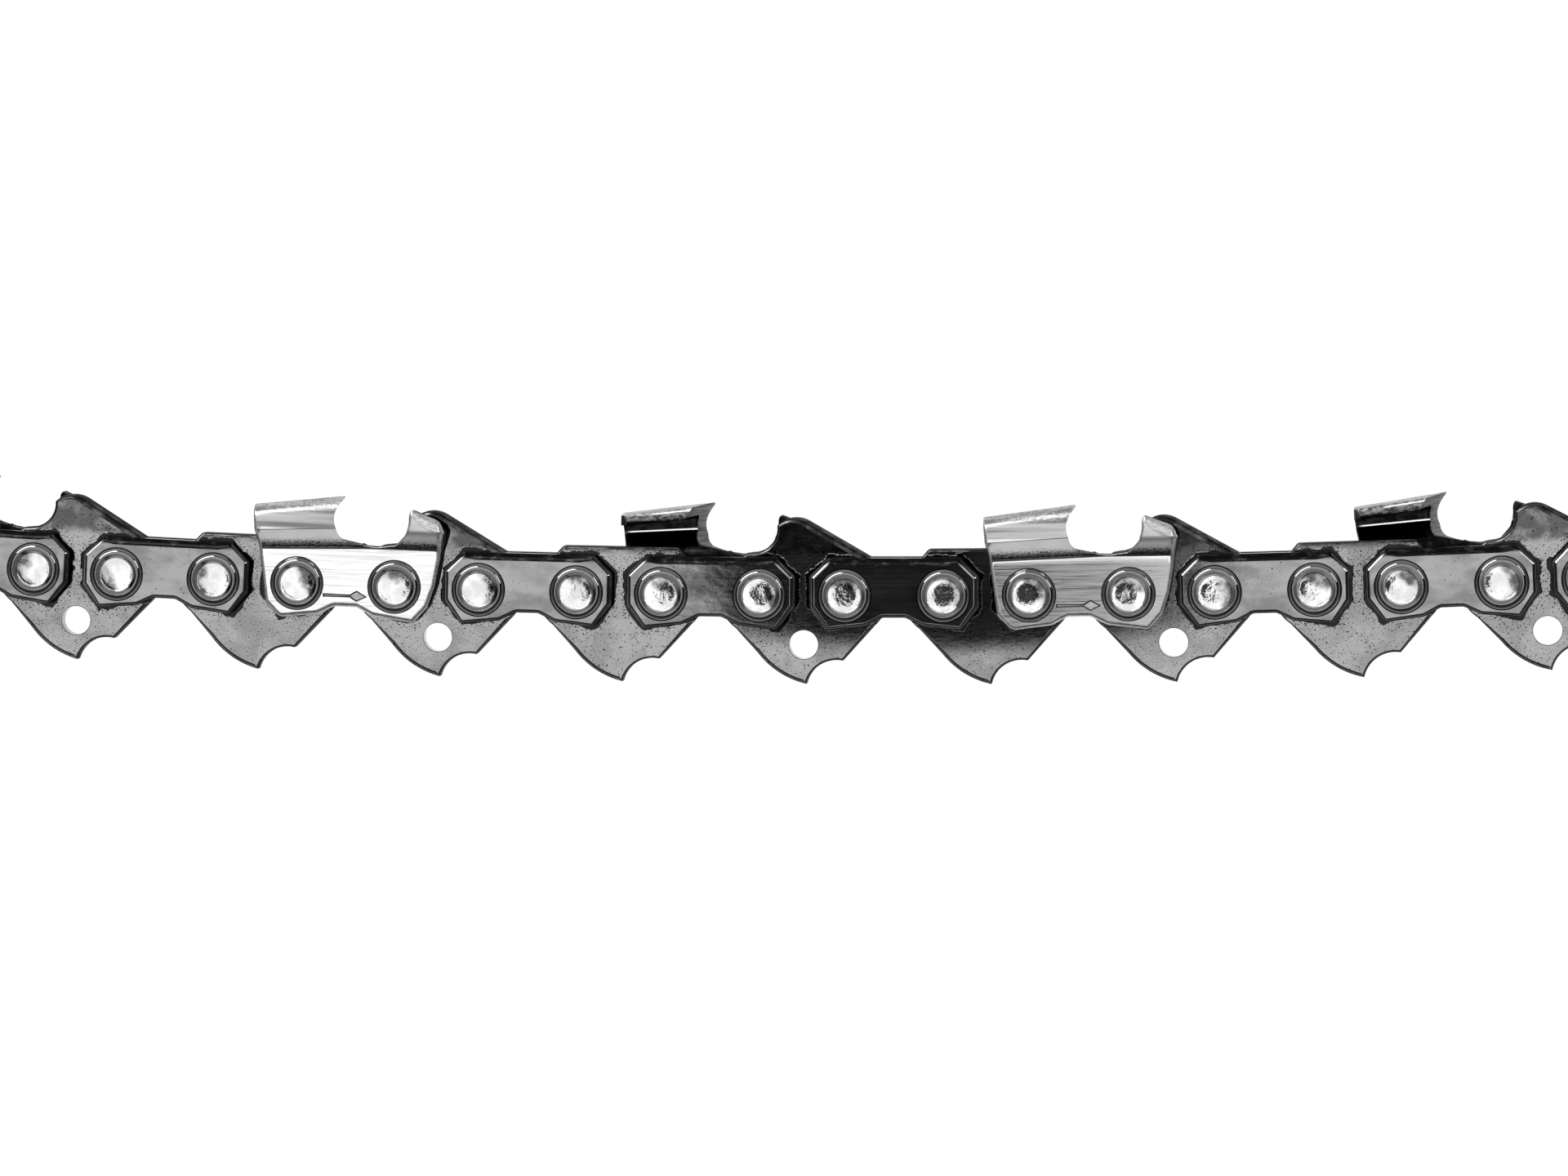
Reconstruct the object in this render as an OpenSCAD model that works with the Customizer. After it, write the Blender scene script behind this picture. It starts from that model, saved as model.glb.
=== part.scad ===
// A stretch of saw chain that lies flat on its side, parted by taking out one strap pair.
// X is the way of travel, Y points from the drive tangs to the cutters, Z runs across the chain.
// The origin is the middle of the open rivet hole at the trailing end.

/* [Chain] */
// Pitch: half the distance over three rivets
pitch = 8.255; // [7.8:0.005:8.7]
// Distance between the two rivets of a drive link
drive_span = 7.65; // [7.4:0.05:7.9]
// Gauge: thickness of the drive links
gauge = 1.47; // [1.1:0.01:1.6]
// Gap between a drive link and the plate beside it
side_gap = 0.065; // [0.03:0.005:0.12]
// Bend at each rivet as the chain lies, degrees
rest_bend = 0.376; // [0:0.004:1]
// Thickness of the tie straps and of the cutters' feet
plate_t = 1.25; // [1:0.05:1.5]

/* [Rivets] */
// Radius of the hub that a drive link turns on
hub_r = 2.5; // [2.2:0.05:2.7]
// Radial running clearance of a drive link on the hub
hub_clearance = 0.05; // [0.02:0.01:0.09]
// Radius of the shank in the plates
shank_r = 1.85; // [1.5:0.05:2.05]
// Radius of the spun head at the crest of its ring
head_crest_r = 1.9; // [1.8:0.05:2]
// Radius of the head's rounded ring in section
head_ring_r = 0.48; // [0.35:0.01:0.55]
// Height of the dished middle of the head over its seat
head_dish_h = 0.27; // [0.15:0.01:0.32]
// Depth of the seat that the head is spun into
seat_depth = 0.12; // [0.05:0.01:0.2]
// Gap round the head in its seat
seat_gap = 0.09; // [0.05:0.01:0.15]

/* [Drive links] */
// Radius of a drive link's ends
drive_end_r = 3.8; // [3.5:0.05:3.95]
// Height of the top edge over the rivet line
drive_top = 4.1; // [3.9:0.01:4.4]
// Half length of the flat top edge
drive_top_half = 5.2; // [4.8:0.05:5.6]
// Slope of the tang's flanks, degrees
flank_slope = 48; // [45:0.5:52]
// Where the flanks would meet, below the rivet line
flank_meet = 9.85; // [9.5:0.05:10.2]
// Radius of the tang's rounded leading side
tang_r = 7.55; // [7.2:0.05:8]
// Radius of the hooked notch in the tang
hook_r = 2.84; // [2.4:0.02:3.2]
// Radius of the oil hole in a bumper link
oil_hole_r = 1.3; // [0.8:0.05:1.5]
// Depth of the oil hole's middle below the rivet line
oil_hole_drop = 4.5; // [4.1:0.05:4.8]

/* [Bumper] */
// Height of the bumper over the rivet line
bumper_h = 6.9; // [6.4:0.02:7.4]
// Radius of the bumper's rounded peak
bumper_peak_r = 2.3; // [2.1:0.05:2.5]
// Slope of the ramp in front of the peak, degrees
ramp_slope = 29.8; // [26:0.2:34]
// Radius of the hollow behind the peak
bumper_hollow_r = 2.2; // [2:0.05:2.4]

/* [Tie straps] */
// Half length of a strap
strap_half = 7.6; // [7.3:0.05:7.8]
// Height of the strap's top edge
strap_top = 3.35; // [3.1:0.05:3.6]
// Depth of the strap's lower corners
strap_bottom = 3.1; // [2.9:0.05:3.3]
// Half length of the strap's flat top edge
strap_top_half = 5.9; // [5.6:0.05:6.2]
// Depth of the waist between the rivets
waist_drop = 1.97; // [1.7:0.05:2.2]
// Width of the bevel round the outer face
strap_bevel = 0.38; // [0.2:0.02:0.5]

/* [Cutters] */
// Thickness of the cutter's side plate
side_t = 1.2; // [1:0.05:1.35]
// Thickness of the top plate
top_t = 0.95; // [0.8:0.05:1.1]
// Reach of the cutting corner from the middle of the chain
corner_reach = 3.6; // [3.3:0.05:3.8]
// How much less the rear of the cutter reaches out
side_relief = 0.25; // [0.1:0.05:0.4]
// Distance of the top plate's inner rim from the middle of the chain
rim_reach = 0.2; // [0:0.05:0.5]
// Height of the top plate at the cutting corner
top_front = 8.15; // [7.9:0.05:8.4]
// Height of the top plate at its rear
top_rear = 7.12; // [6.9:0.02:7.4]
// Fall of the top plate from its corner to its rim, degrees
top_tilt = 4; // [2:0.5:6]
// Outer radius of the corner between side plate and top plate
corner_r = 1.1; // [0.9:0.05:1.2]
// Height of the fold at the cutter's rear
fold_rear = 3.15; // [3:0.05:3.3]
// Height of the fold under the cutting corner
fold_front = 3.45; // [3.35:0.05:3.55]
// Height at the rear where the side plate stands up again
crease_rear = 4.75; // [4.5:0.05:4.9]
// The same height under the cutting corner
crease_front = 5.2; // [5:0.05:5.4]
// Slant of the sharpened edge across the chain, degrees
grind_slant = 28; // [24:1:32]
// Slope of the sharpened face under the top plate, degrees
grind_rake = 60; // [55:1:65]
// Radius of the round gullet under the cutting corner
grind_r = 2; // [1.9:0.05:2.2]
// Height of the round gullet's middle
grind_h = 5.85; // [5.75:0.05:6]
// Height of the stamped gullet's floor
gullet_floor = 3.55; // [3.4:0.05:3.6]
// Radius of the stamped gullet under the depth gauge
gullet_r = 2; // [1.7:0.1:2.2]
// Height of the depth gauge
gauge_top = 7.13; // [6.9:0.02:7.3]
// Reach of the depth gauge from the middle of the chain
gauge_reach = 3.1; // [2.9:0.05:3.3]

/* [Hidden] */
// Counts and spans
link_count = 21;
middle_link = (link_count - 1) / 2;
side_span = 2 * pitch - drive_span;
round_steps = 4;
$fn = 72;

// Levels across the chain
plate_in = gauge / 2 + side_gap;
plate_out = plate_in + plate_t;
head_seat = plate_out - seat_depth;

// Names of the links and of their pieces
function two(n) = n < 10 ? str("0", n) : str(n);
function is_drive(k) = k % 2 == 0;
function is_bumper(k) = k % 4 == 2;
function is_cutter(k) = k % 4 == 1;
function cutter_side(k) = k % 8 == 5 ? "right" : "left";
function plate_kind(k, side) = is_cutter(k) && side == cutter_side(k) ? "cutter" : "strap";
function drive_name(k) = str(is_bumper(k) ? "bumper_link_" : "drive_link_", two(k + 1));
function plate_name(k, side) = str(side, "_", plate_kind(k, side), "_", two(k + 1));
function rivet_name(j) = str("rivet_", two(j));

// Where the links lie: the chain is a shallow arc, level in the middle
function heading(k) = (k - middle_link) * rest_bend;
function span(k) = is_drive(k) ? drive_span : side_span;
function along(k) = span(k) * [cos(heading(k)), sin(heading(k)), 0];
function rivet_place(j) = j == 0 ? [0, 0, 0] : rivet_place(j - 1) + along(j - 1);

// Outlines: each corner is [x, y, radius], and a corner with a radius becomes an arc
function flat(p) = [p.x, p.y];
function unit(v) = v / norm(v);
function bearing(v) = atan2(v.y, v.x);
function turn(a) = a > 180 ? a - 360 : a < -180 ? a + 360 : a;
function arc(middle, r, from, sweep, n) =
  [for (i = [0 : n]) middle + r * [cos(from + sweep * i / n), sin(from + sweep * i / n)]];
function corner(before, here, after) =
  here.z == 0 ? [flat(here)] :
  let (
    back = unit(flat(before) - flat(here)),
    ahead = unit(flat(after) - flat(here)),
    half = acos(back * ahead) / 2,
    middle = flat(here) + unit(back + ahead) * here.z / sin(half),
    reach = here.z / tan(half),
    from = bearing(flat(here) + back * reach - middle),
    to = bearing(flat(here) + ahead * reach - middle)
  )
  arc(middle, here.z, from, turn(to - from), round_steps);
function rounded(v) =
  [for (i = [0 : len(v) - 1]) each corner(v[(i + len(v) - 1) % len(v)], v[i], v[(i + 1) % len(v)])];

module at_link(k) {
  translate((rivet_place(k) + rivet_place(k + 1)) / 2) rotate([0, 0, heading(k)]) children();
}

// Drive links: the two flanks start inside the round ends and meet under the middle of the tang
tang_mid = 0.05;
flank_reach = drive_span / 2 + 2.75;
tang_centre = [1.9, -0.65];
hook_centre = [3.05, -8.7];
chamfer_bearing = 30;
top_corner_r = 0.3;

module tang_outline() {
  flank_top = -flank_meet + flank_reach * tan(flank_slope);
  difference() {
    intersection() {
      polygon([
        [tang_mid - flank_reach, flank_top],
        [tang_mid, -flank_meet],
        [tang_mid + flank_reach, flank_top],
        [drive_span / 2, 0],
        [-drive_span / 2, 0]
      ]);
      translate(tang_centre) circle(r = tang_r);
    }
    translate(hook_centre) circle(r = hook_r);
  }
}

module drive_body_outline() {
  chamfer_end = drive_span / 2 + drive_end_r * cos(chamfer_bearing);
  chamfer_y = drive_end_r * sin(chamfer_bearing);
  for (s = [-1, 1]) translate([s * drive_span / 2, 0]) circle(r = drive_end_r);
  polygon(rounded([
    [-chamfer_end, chamfer_y, 0],
    [-chamfer_end, -chamfer_y, 0],
    [chamfer_end, -chamfer_y, 0],
    [chamfer_end, chamfer_y, 0],
    [drive_top_half, drive_top, top_corner_r],
    [-drive_top_half, drive_top, top_corner_r]
  ]));
}

// The ramp ends over the leading rivet, and the hollow cuts into the back of the peak
bumper_ramp_end = [6.5, 3.15];
hollow_back = 1.56;
hollow_rim = 1.58;

module bumper_outline() {
  outward = [sin(ramp_slope), cos(ramp_slope)];
  peak_y = bumper_h - bumper_peak_r;
  rise = bumper_peak_r / outward.y + peak_y - bumper_ramp_end.y;
  peak_x = bumper_ramp_end.x - rise / tan(ramp_slope);
  peak = [peak_x, peak_y];
  hollow = [peak_x - bumper_peak_r - hollow_back, drive_top + bumper_hollow_r];
  difference() {
    union() {
      translate(peak) circle(r = bumper_peak_r);
      polygon([[peak_x, 0], [bumper_ramp_end.x, 0], bumper_ramp_end, peak + bumper_peak_r * outward]);
      translate([hollow.x, 0]) square([peak_x - hollow.x, peak_y + hollow_rim]);
    }
    translate(hollow) circle(r = bumper_hollow_r);
  }
}

module rivet_holes(spacing, r, from, to) {
  for (s = [-1, 1]) translate([s * spacing / 2, 0, from]) cylinder(r = r, h = to - from);
}

module drive_link(k) {
  color(is_bumper(k) ? "slategray" : "dimgray")
  at_link(k)
  difference() {
    translate([0, 0, -gauge / 2]) linear_extrude(gauge) {
      drive_body_outline();
      tang_outline();
      if (is_bumper(k)) bumper_outline();
    }
    rivet_holes(drive_span, hub_r + hub_clearance, -gauge, gauge);
    if (is_bumper(k)) translate([tang_mid, -oil_hole_drop, -gauge]) cylinder(r = oil_hole_r, h = 2 * gauge);
  }
}

// Rivet holes and head seats, which every side plate has
module plate_bores() {
  rivet_holes(side_span, shank_r, 0, 2 * plate_out);
  rivet_holes(side_span, head_crest_r + head_ring_r + seat_gap, head_seat, 2 * plate_out);
}

// Lower edge that straps and cutters share, from the trailing corner to the leading corner
waist_half = 1;
waist_end = [2.5, -2.72];
waist_r = 0.6;
waist_end_r = 1;
waist = [
  [-waist_end.x, waist_end.y, waist_end_r],
  [-waist_half, -waist_drop, waist_r],
  [waist_half, -waist_drop, waist_r],
  [waist_end.x, waist_end.y, waist_end_r]
];

foot_half = 6;
foot_corner_r = 0.5;
end_low = -1.05;
end_high = 1.7;
strap_corner_r = 0.3;

function strap_corners(inset) = [
  for (p = waist) [p.x, p.y + inset, p.z],
  [foot_half - inset / 2, -strap_bottom + inset, foot_corner_r],
  [strap_half - inset, end_low + inset / 2, strap_corner_r],
  [strap_half - inset, end_high - inset / 2, strap_corner_r],
  [strap_top_half - inset / 2, strap_top - inset, strap_corner_r],
  [-strap_top_half + inset / 2, strap_top - inset, strap_corner_r],
  [-strap_half + inset, end_high - inset / 2, strap_corner_r],
  [-strap_half + inset, end_low + inset / 2, strap_corner_r],
  [-foot_half + inset / 2, -strap_bottom + inset, foot_corner_r]
];

// Solid through rings of as many points each, which run anticlockwise as seen from the last ring
module skin(rings) {
  n = len(rings[0]);
  last = (len(rings) - 1) * n;
  points = [for (ring = rings) each ring];
  bands = [
    for (r = [0 : len(rings) - 2], i = [0 : n - 1])
      let (a = r * n + i, b = r * n + (i + 1) % n)
      each [[a, a + n, b + n], [a, b + n, b]]
  ];
  polyhedron(points, [[for (i = [0 : n - 1]) i], [for (i = [n - 1 : -1 : 0]) last + i], for (f = bands) f]);
}

function at_level(outline, z) = [for (p = outline) [p.x, p.y, z]];

// A flat plate, trimmed by a skin that closes in over its outer edge
module strap() {
  over = 0.2;
  wide = rounded(strap_corners(-over));
  narrow = rounded(strap_corners(strap_bevel + over));
  difference() {
    intersection() {
      translate([0, 0, plate_in]) linear_extrude(plate_t) polygon(rounded(strap_corners(0)));
      skin([
        at_level(wide, plate_in - over),
        at_level(wide, plate_out - strap_bevel - over),
        at_level(narrow, plate_out + over)
      ]);
    }
    plate_bores();
  }
}

// Cutters: a foot like a strap, whose upper part is folded outward and over
cutter_rear = -8.3;
cutter_front = 9.12;
front_overrun = 0.5;
rear_overrun = 0.7;
blank_front = 0.7;
gauge_start = 3;
gauge_back = 5.6;
plate_floor = -5;
fold_r = 0.7;
crease_r = 0.5;
inner_r = 0.3;
rim_r = 0.15;

// Height or reach at a station along the cutter, from its value at the rear and at the cutting corner
function between(rear, front, x) = rear + (front - rear) * (x - cutter_rear) / -cutter_rear;

// Section of the folded plate at a station: down the inside, up the outside and over
function fold_section(x, out, fold, crease, top, rim, corner) =
  let (
    lean = atan2(out - plate_out, crease - fold),
    rise = side_t * tan(lean / 2),
    rim_y = top - (out - rim) * tan(top_tilt)
  )
  [for (p = rounded([
    [plate_out, plate_floor, 0],
    [plate_out, fold, fold_r],
    [out, crease, crease_r],
    [out, top, corner],
    [rim, rim_y, rim_r],
    [rim, rim_y - top_t, rim_r],
    [out - side_t, top - top_t - side_t * tan(top_tilt), inner_r],
    [out - side_t, crease + rise, inner_r],
    [plate_in, fold + rise, inner_r],
    [plate_in, plate_floor, 0]
  ])) [x, p.y, p.x]];

function cutting_section(x) = fold_section(
  x,
  between(corner_reach - side_relief, corner_reach, x),
  between(fold_rear, fold_front, x),
  between(crease_rear, crease_front, x),
  between(top_rear, top_front, x),
  rim_reach,
  corner_r
);

// The depth gauge is folded out in the same way, and its top is cut off by the outline
gauge_fold_rise = 0.05;
gauge_crease_fall = 0.3;
gauge_overrun = 2;
gauge_rim = 0.5;

function gauge_section(x) = fold_section(
  x,
  gauge_reach,
  fold_front + gauge_fold_rise,
  crease_front - gauge_crease_fall,
  gauge_top + gauge_overrun,
  gauge_reach - side_t - gauge_rim,
  inner_r
);

// The rear edge leans back as it rises, and the top is left to the folded plate
rear_lean = -0.122;
rear_low = [-7.3, -1.77, 0.3];
rear_top_r = 0.6;
rear_top_rise = 0.05;
toe = [6.2, -3.23, 0.3];
toe_front = [7.5, -1.75, 0.4];
shin = [8.16, 0.2, 0.4];
gauge_front = [cutter_front, 5.95, 0.9];
gauge_tip_r = 0.15;
gullet_lip = [2, 0.6];
gullet_rise = 0.3;
blank_overrun = 0.3;

module cutter_outline() {
  rear_top = top_rear + rear_top_rise;
  front_top = between(top_rear, top_front, blank_front) + blank_overrun;
  polygon(rounded([
    for (p = waist) p,
    toe,
    toe_front,
    shin,
    gauge_front,
    [gauge_back, gauge_top, gauge_tip_r],
    [gauge_back, gullet_floor, gullet_r],
    [gullet_lip.x, gullet_floor, gullet_lip.y],
    [blank_front, gullet_floor + gullet_rise, 0],
    [blank_front, front_top, 0],
    [rear_low.x + rear_lean * (rear_top - rear_low.y), rear_top, rear_top_r],
    rear_low,
    [-foot_half, -strap_bottom, foot_corner_r]
  ]));
}

// What the grinding wheel takes away: a round gullet with a straight face above it
edge_x = 0.05;
face_h = 6;
wheel_half = 1.2;

module ground_face() {
  face_foot = grind_r * [-sin(grind_rake), cos(grind_rake)];
  face_top = face_foot + face_h * [1 / tan(grind_rake), 1];
  edge_in_profile = face_foot.x + (top_front - grind_h - face_foot.y) / tan(grind_rake);
  round_end = acos(wheel_half / grind_r);
  translate([edge_x - edge_in_profile / cos(grind_slant), grind_h, corner_reach])
    rotate([0, grind_slant, 0])
    translate([0, 0, -4 * corner_reach])
    linear_extrude(6 * corner_reach)
    polygon([
      for (p = arc([0, 0], grind_r, 90 + grind_rake, 270 - grind_rake - round_end, 3 * round_steps)) p,
      [face_top.x + wheel_half, face_top.y],
      face_top
    ]);
}

module cutter() {
  rear_end = cutter_rear - rear_overrun;
  difference() {
    intersection() {
      skin([
        gauge_section(cutter_front + front_overrun),
        gauge_section(gauge_start),
        cutting_section(blank_front),
        cutting_section(rear_end)
      ]);
      translate([0, 0, -1]) linear_extrude(2 * corner_reach) cutter_outline();
    }
    plate_bores();
    ground_face();
  }
}

module side_plate(k, side) {
  kind = plate_kind(k, side);
  color(kind == "cutter" ? "silver" : "darkslategray")
  at_link(k)
  mirror([0, 0, side == "right" ? 0 : 1])
  if (kind == "cutter") cutter();
  else strap();
}

// Rivets: a hub between the plates, a shank through each of them and a spun head on each end
module rivet(j) {
  color("gainsboro")
  translate(rivet_place(j))
  rotate_extrude() {
    translate([0, -plate_in]) square([hub_r, 2 * plate_in]);
    translate([0, -head_seat]) square([shank_r, 2 * head_seat]);
    for (m = [0, 1]) mirror([0, m]) translate([0, head_seat]) {
      square([head_crest_r, head_dish_h]);
      intersection() {
        translate([head_crest_r, 0]) circle(r = head_ring_r);
        square([head_crest_r + head_ring_r, head_ring_r]);
      }
    }
  }
}

for (k = [0 : link_count - 1]) {
  if (is_drive(k)) {
    drive_link(k);
  } else {
    for (side = ["right", "left"]) side_plate(k, side);
  }
}
for (j = [1 : link_count - 1]) rivet(j);
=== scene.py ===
"""A stretch of saw chain lying flat on a white table, seen from above and slightly from its leading end.

Sizes are in millimetres in each link's own frame: x along the way of travel, y from tangs to cutters, z along
the rivets. Every mesh is turned into metres when it is made, and each piece stands in its link's frame.
"""

from math import acos, asin, atan2, ceil, cos, hypot, pi, radians, sin, sqrt, tan

import bpy
import numpy as np
from mathutils import Matrix, Vector
from mathutils.geometry import delaunay_2d_cdt


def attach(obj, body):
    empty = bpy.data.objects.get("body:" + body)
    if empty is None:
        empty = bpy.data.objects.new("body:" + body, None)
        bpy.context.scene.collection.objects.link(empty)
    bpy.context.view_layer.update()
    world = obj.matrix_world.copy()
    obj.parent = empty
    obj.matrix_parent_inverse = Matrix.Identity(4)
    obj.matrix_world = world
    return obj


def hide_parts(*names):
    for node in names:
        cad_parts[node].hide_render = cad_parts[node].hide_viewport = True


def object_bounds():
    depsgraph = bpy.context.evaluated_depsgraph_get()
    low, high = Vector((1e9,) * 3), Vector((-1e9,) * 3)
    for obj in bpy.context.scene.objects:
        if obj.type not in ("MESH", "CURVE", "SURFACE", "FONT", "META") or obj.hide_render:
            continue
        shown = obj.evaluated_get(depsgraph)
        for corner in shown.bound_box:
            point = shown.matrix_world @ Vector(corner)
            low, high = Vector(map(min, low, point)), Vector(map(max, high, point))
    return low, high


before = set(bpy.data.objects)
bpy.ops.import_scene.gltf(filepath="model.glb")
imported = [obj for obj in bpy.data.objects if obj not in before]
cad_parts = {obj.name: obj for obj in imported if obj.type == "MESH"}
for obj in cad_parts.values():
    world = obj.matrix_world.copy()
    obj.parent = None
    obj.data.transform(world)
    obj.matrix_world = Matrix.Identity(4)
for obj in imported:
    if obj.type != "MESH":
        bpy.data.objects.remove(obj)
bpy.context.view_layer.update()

MM = 0.001
MM_PER_M = 1000.0

# Chain
PITCH = 8.255
DRIVE_SPAN = 7.65
SIDE_SPAN = 2 * PITCH - DRIVE_SPAN
REST_BEND = 0.376
LINK_COUNT = 21
MIDDLE_LINK = (LINK_COUNT - 1) / 2
GAUGE = 1.47
SIDE_GAP = 0.065
PLATE_T = 1.25
PLATE_IN = GAUGE / 2 + SIDE_GAP
PLATE_OUT = PLATE_IN + PLATE_T

# Rivets
HUB_R = 2.5
HUB_HOLE_R = 2.55
SHANK_R = 1.85
DISH_H = 0.19
DISH_R = 1.5
DISH_DOME = 0.025
DISH_RINGS = 10
DISH_POWER = 5
CREST_H = 0.46
CREST_IN = 1.84
CREST_OUT = 1.9
RING_OUT = 2.38
RING_EDGE_H = 0.12
RING_ROUND = 80
SEAT_DEPTH = 0.12
SEAT_R = 2.42
HEAD_SEAT = PLATE_OUT - SEAT_DEPTH

# Which way the sides of the heads with painted shade face, as an angle and a spread in degrees
SHADE_SIDE = (45, 38)
TRAILING_SHADE_SIDE = (180, 20)
TRAILING_RIVETS = 5
SHADE_SIDE_STEP = 2.4

# Drive links
DRIVE_END_R = 3.8
DRIVE_TOP = 4.1
DRIVE_TOP_HALF = 5.2
FLANK_SLOPE = 48
FLANK_MEET = 9.85
TANG_MID = 0.05
TANG_CENTRE = (1.9, -0.65)
TANG_R = 7.55
HOOK_CENTRE = (3.05, -8.7)
HOOK_R = 2.84
OIL_HOLE_R = 1.3
OIL_HOLE_DROP = 4.5
BUMPER_H = 6.9
BUMPER_PEAK_R = 2.3
RAMP_SLOPE = 29.8
RAMP_END = (6.5, 3.15)
HOLLOW_R = 2.2
HOLLOW_BACK = 1.56
HOLLOW_FLOOR = 3.75

# Straps
STRAP_HALF = 7.6
STRAP_TOP = 3.35
STRAP_BOTTOM = 3.1
STRAP_TOP_HALF = 5.9
WAIST_DROP = 1.97
STRAP_BEVEL = 0.42

# Cutters
SIDE_T = 1.2
TOP_T = 0.95
CORNER_REACH = 3.6
SIDE_RELIEF = 0.25
RIM_REACH = 0.2
TOP_FRONT = 8.15
TOP_REAR = 7.12
TOP_TILT = 4
CORNER_R = 1.1
FOLD_REAR = 3.15
FOLD_FRONT = 3.45
CREASE_REAR = 4.75
CREASE_FRONT = 5.2
CUTTER_REAR = -8.3
CUTTER_FRONT = 9.12
BLANK_FRONT = 0.7
GAUGE_START = 3.0
GAUGE_REACH = 3.1
GRIND_SLANT = 28
GRIND_RAKE = 42
GRIND_R = 2.2
GRIND_H = 6.02
GRIND_EDGE_X = 0.5

# Camera, fitted to the rivet heads
CAMERA_AT = (138.84, 32.51, 560.0)
CAMERA_YAW = 0.0967
CAMERA_PITCH = -0.062
CAMERA_ROLL = 0.0005
CAMERA_LENS = 144.2
SENSOR = 36.0


def is_drive(k):
    return k % 2 == 0


def is_bumper(k):
    return k % 4 == 2


def is_cutter(k):
    return k % 4 == 1


def cutter_side(k):
    return "right" if k % 8 == 5 else "left"


def drive_name(k):
    return f"{'bumper' if is_bumper(k) else 'drive'}_link_{k + 1:02d}"


def plate_kind(k, side):
    return "cutter" if is_cutter(k) and side == cutter_side(k) else "strap"


def plate_name(k, side):
    return f"{side}_{plate_kind(k, side)}_{k + 1:02d}"


def heading(k):
    return radians((k - MIDDLE_LINK) * REST_BEND)


def rivet_places():
    places = [Vector((0, 0, 0))]
    for k in range(LINK_COUNT):
        span = DRIVE_SPAN if is_drive(k) else SIDE_SPAN
        places.append(places[-1] + span * Vector((cos(heading(k)), sin(heading(k)), 0)))
    return places


PLACES = rivet_places()


def standing(place, k):
    """The frame of link k, put at a place."""
    return Matrix.Translation(place * MM) @ Matrix.Rotation(heading(k), 4, "Z")


def rivet_turn(j):
    """How far the side of a rivet's head with painted shade is turned from the chain's line, in degrees."""
    angle, spread = TRAILING_SHADE_SIDE if j < TRAILING_RIVETS else SHADE_SIDE
    return angle + spread * sin(SHADE_SIDE_STEP * j)


# Finishes: the kinds of surface on a piece, and the material of each
OUTER, INNER, GROUND, RIM, ROLLED, EDGE = range(6)
CUTTER_FINISHES = {
    OUTER: "cutter_chrome",
    INNER: "cutter_inside",
    GROUND: "cutter_ground",
    RIM: "cutter_rim",
    ROLLED: "cutter_rolled",
    EDGE: "oiled_edge",
}
DRIVE_FINISHES = {OUTER: "drive_link_steel", ROLLED: "drive_link_top", EDGE: "oiled_edge"}
STRAP_FINISHES = {OUTER: "strap_steel", INNER: "strap_top", EDGE: "oiled_edge"}

# Outlines: corners are (x, y, radius, roll, finish), anticlockwise. Roll is the width of the rounded edge at
# the corner, and the finish is that of the wall from there to the next corner, OUTER if it is left out.

ARC_STEP = 11
LEAST_ARC_STEPS = 3
NEARLY_STRAIGHT = 1.56
MITER_LIMIT = 0.35
LEAST_R = 0.04


def unit(v):
    return v / np.linalg.norm(v)


def half_angle(before, here, after):
    """Half the angle between the two edges of a corner."""
    return acos(float(np.clip(unit(before - here) @ unit(after - here), -1, 1))) / 2


def fillet(before, here, after, r):
    """Centre, start angle, sweep and radius of the arc that rounds a corner."""
    back = unit(before - here)
    ahead = unit(after - here)
    half = half_angle(before, here, after)
    middle = here + unit(back + ahead) * r / sin(half)
    start = here + back * r / tan(half) - middle
    end = here + ahead * r / tan(half) - middle
    a0 = atan2(start[1], start[0])
    sweep = (atan2(end[1], end[0]) - a0 + pi) % (2 * pi) - pi
    return middle, a0, sweep, r


def arc_at(arc, i, steps=1):
    """The point of a fillet after i steps of its sweep."""
    middle, a0, sweep, r = arc
    a = a0 + sweep * i / steps
    return middle + r * np.array((cos(a), sin(a)))


def corner_arc(before, here, after, r, steps):
    """Points of the arc of radius r in a corner."""
    if steps == 0 or r <= 0 or half_angle(before, here, after) > NEARLY_STRAIGHT:
        return [here] * (steps + 1)
    arc = fillet(before, here, after, r)
    return [arc_at(arc, i, steps) for i in range(steps + 1)]


def turning(before, here, after):
    """Sine of the turn at a corner, positive where an anticlockwise outline is convex."""
    a = unit(here - before)
    b = unit(after - here)
    return float(a[0] * b[1] - a[1] * b[0])


def miter(before, here, after):
    """How a corner moves when both its edges move inward by one."""
    a = unit(here - before)
    b = unit(after - here)
    na = np.array((-a[1], a[0]))
    nb = np.array((-b[1], b[0]))
    return (na + nb) / max(1 + float(na @ nb), MITER_LIMIT)


def triples(points):
    """Each point with the one before it and the one after it."""
    return zip(points[-1:] + points[:-1], points, points[1:] + points[:1])


def plan(corners, step):
    """How many steps each corner's arc takes, and each straight edge in steps of a length."""
    arcs = []
    edges = []
    for corner, three in zip(corners, triples([np.array(c[:2], float) for c in corners])):
        turn = abs(asin(max(-1.0, min(1.0, turning(*three)))))
        arcs.append(0 if corner[2] <= 0 else max(LEAST_ARC_STEPS, ceil(turn / radians(ARC_STEP))))
        edges.append(max(1, ceil(np.linalg.norm(three[2] - three[1]) / step)))
    return arcs, edges


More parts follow.
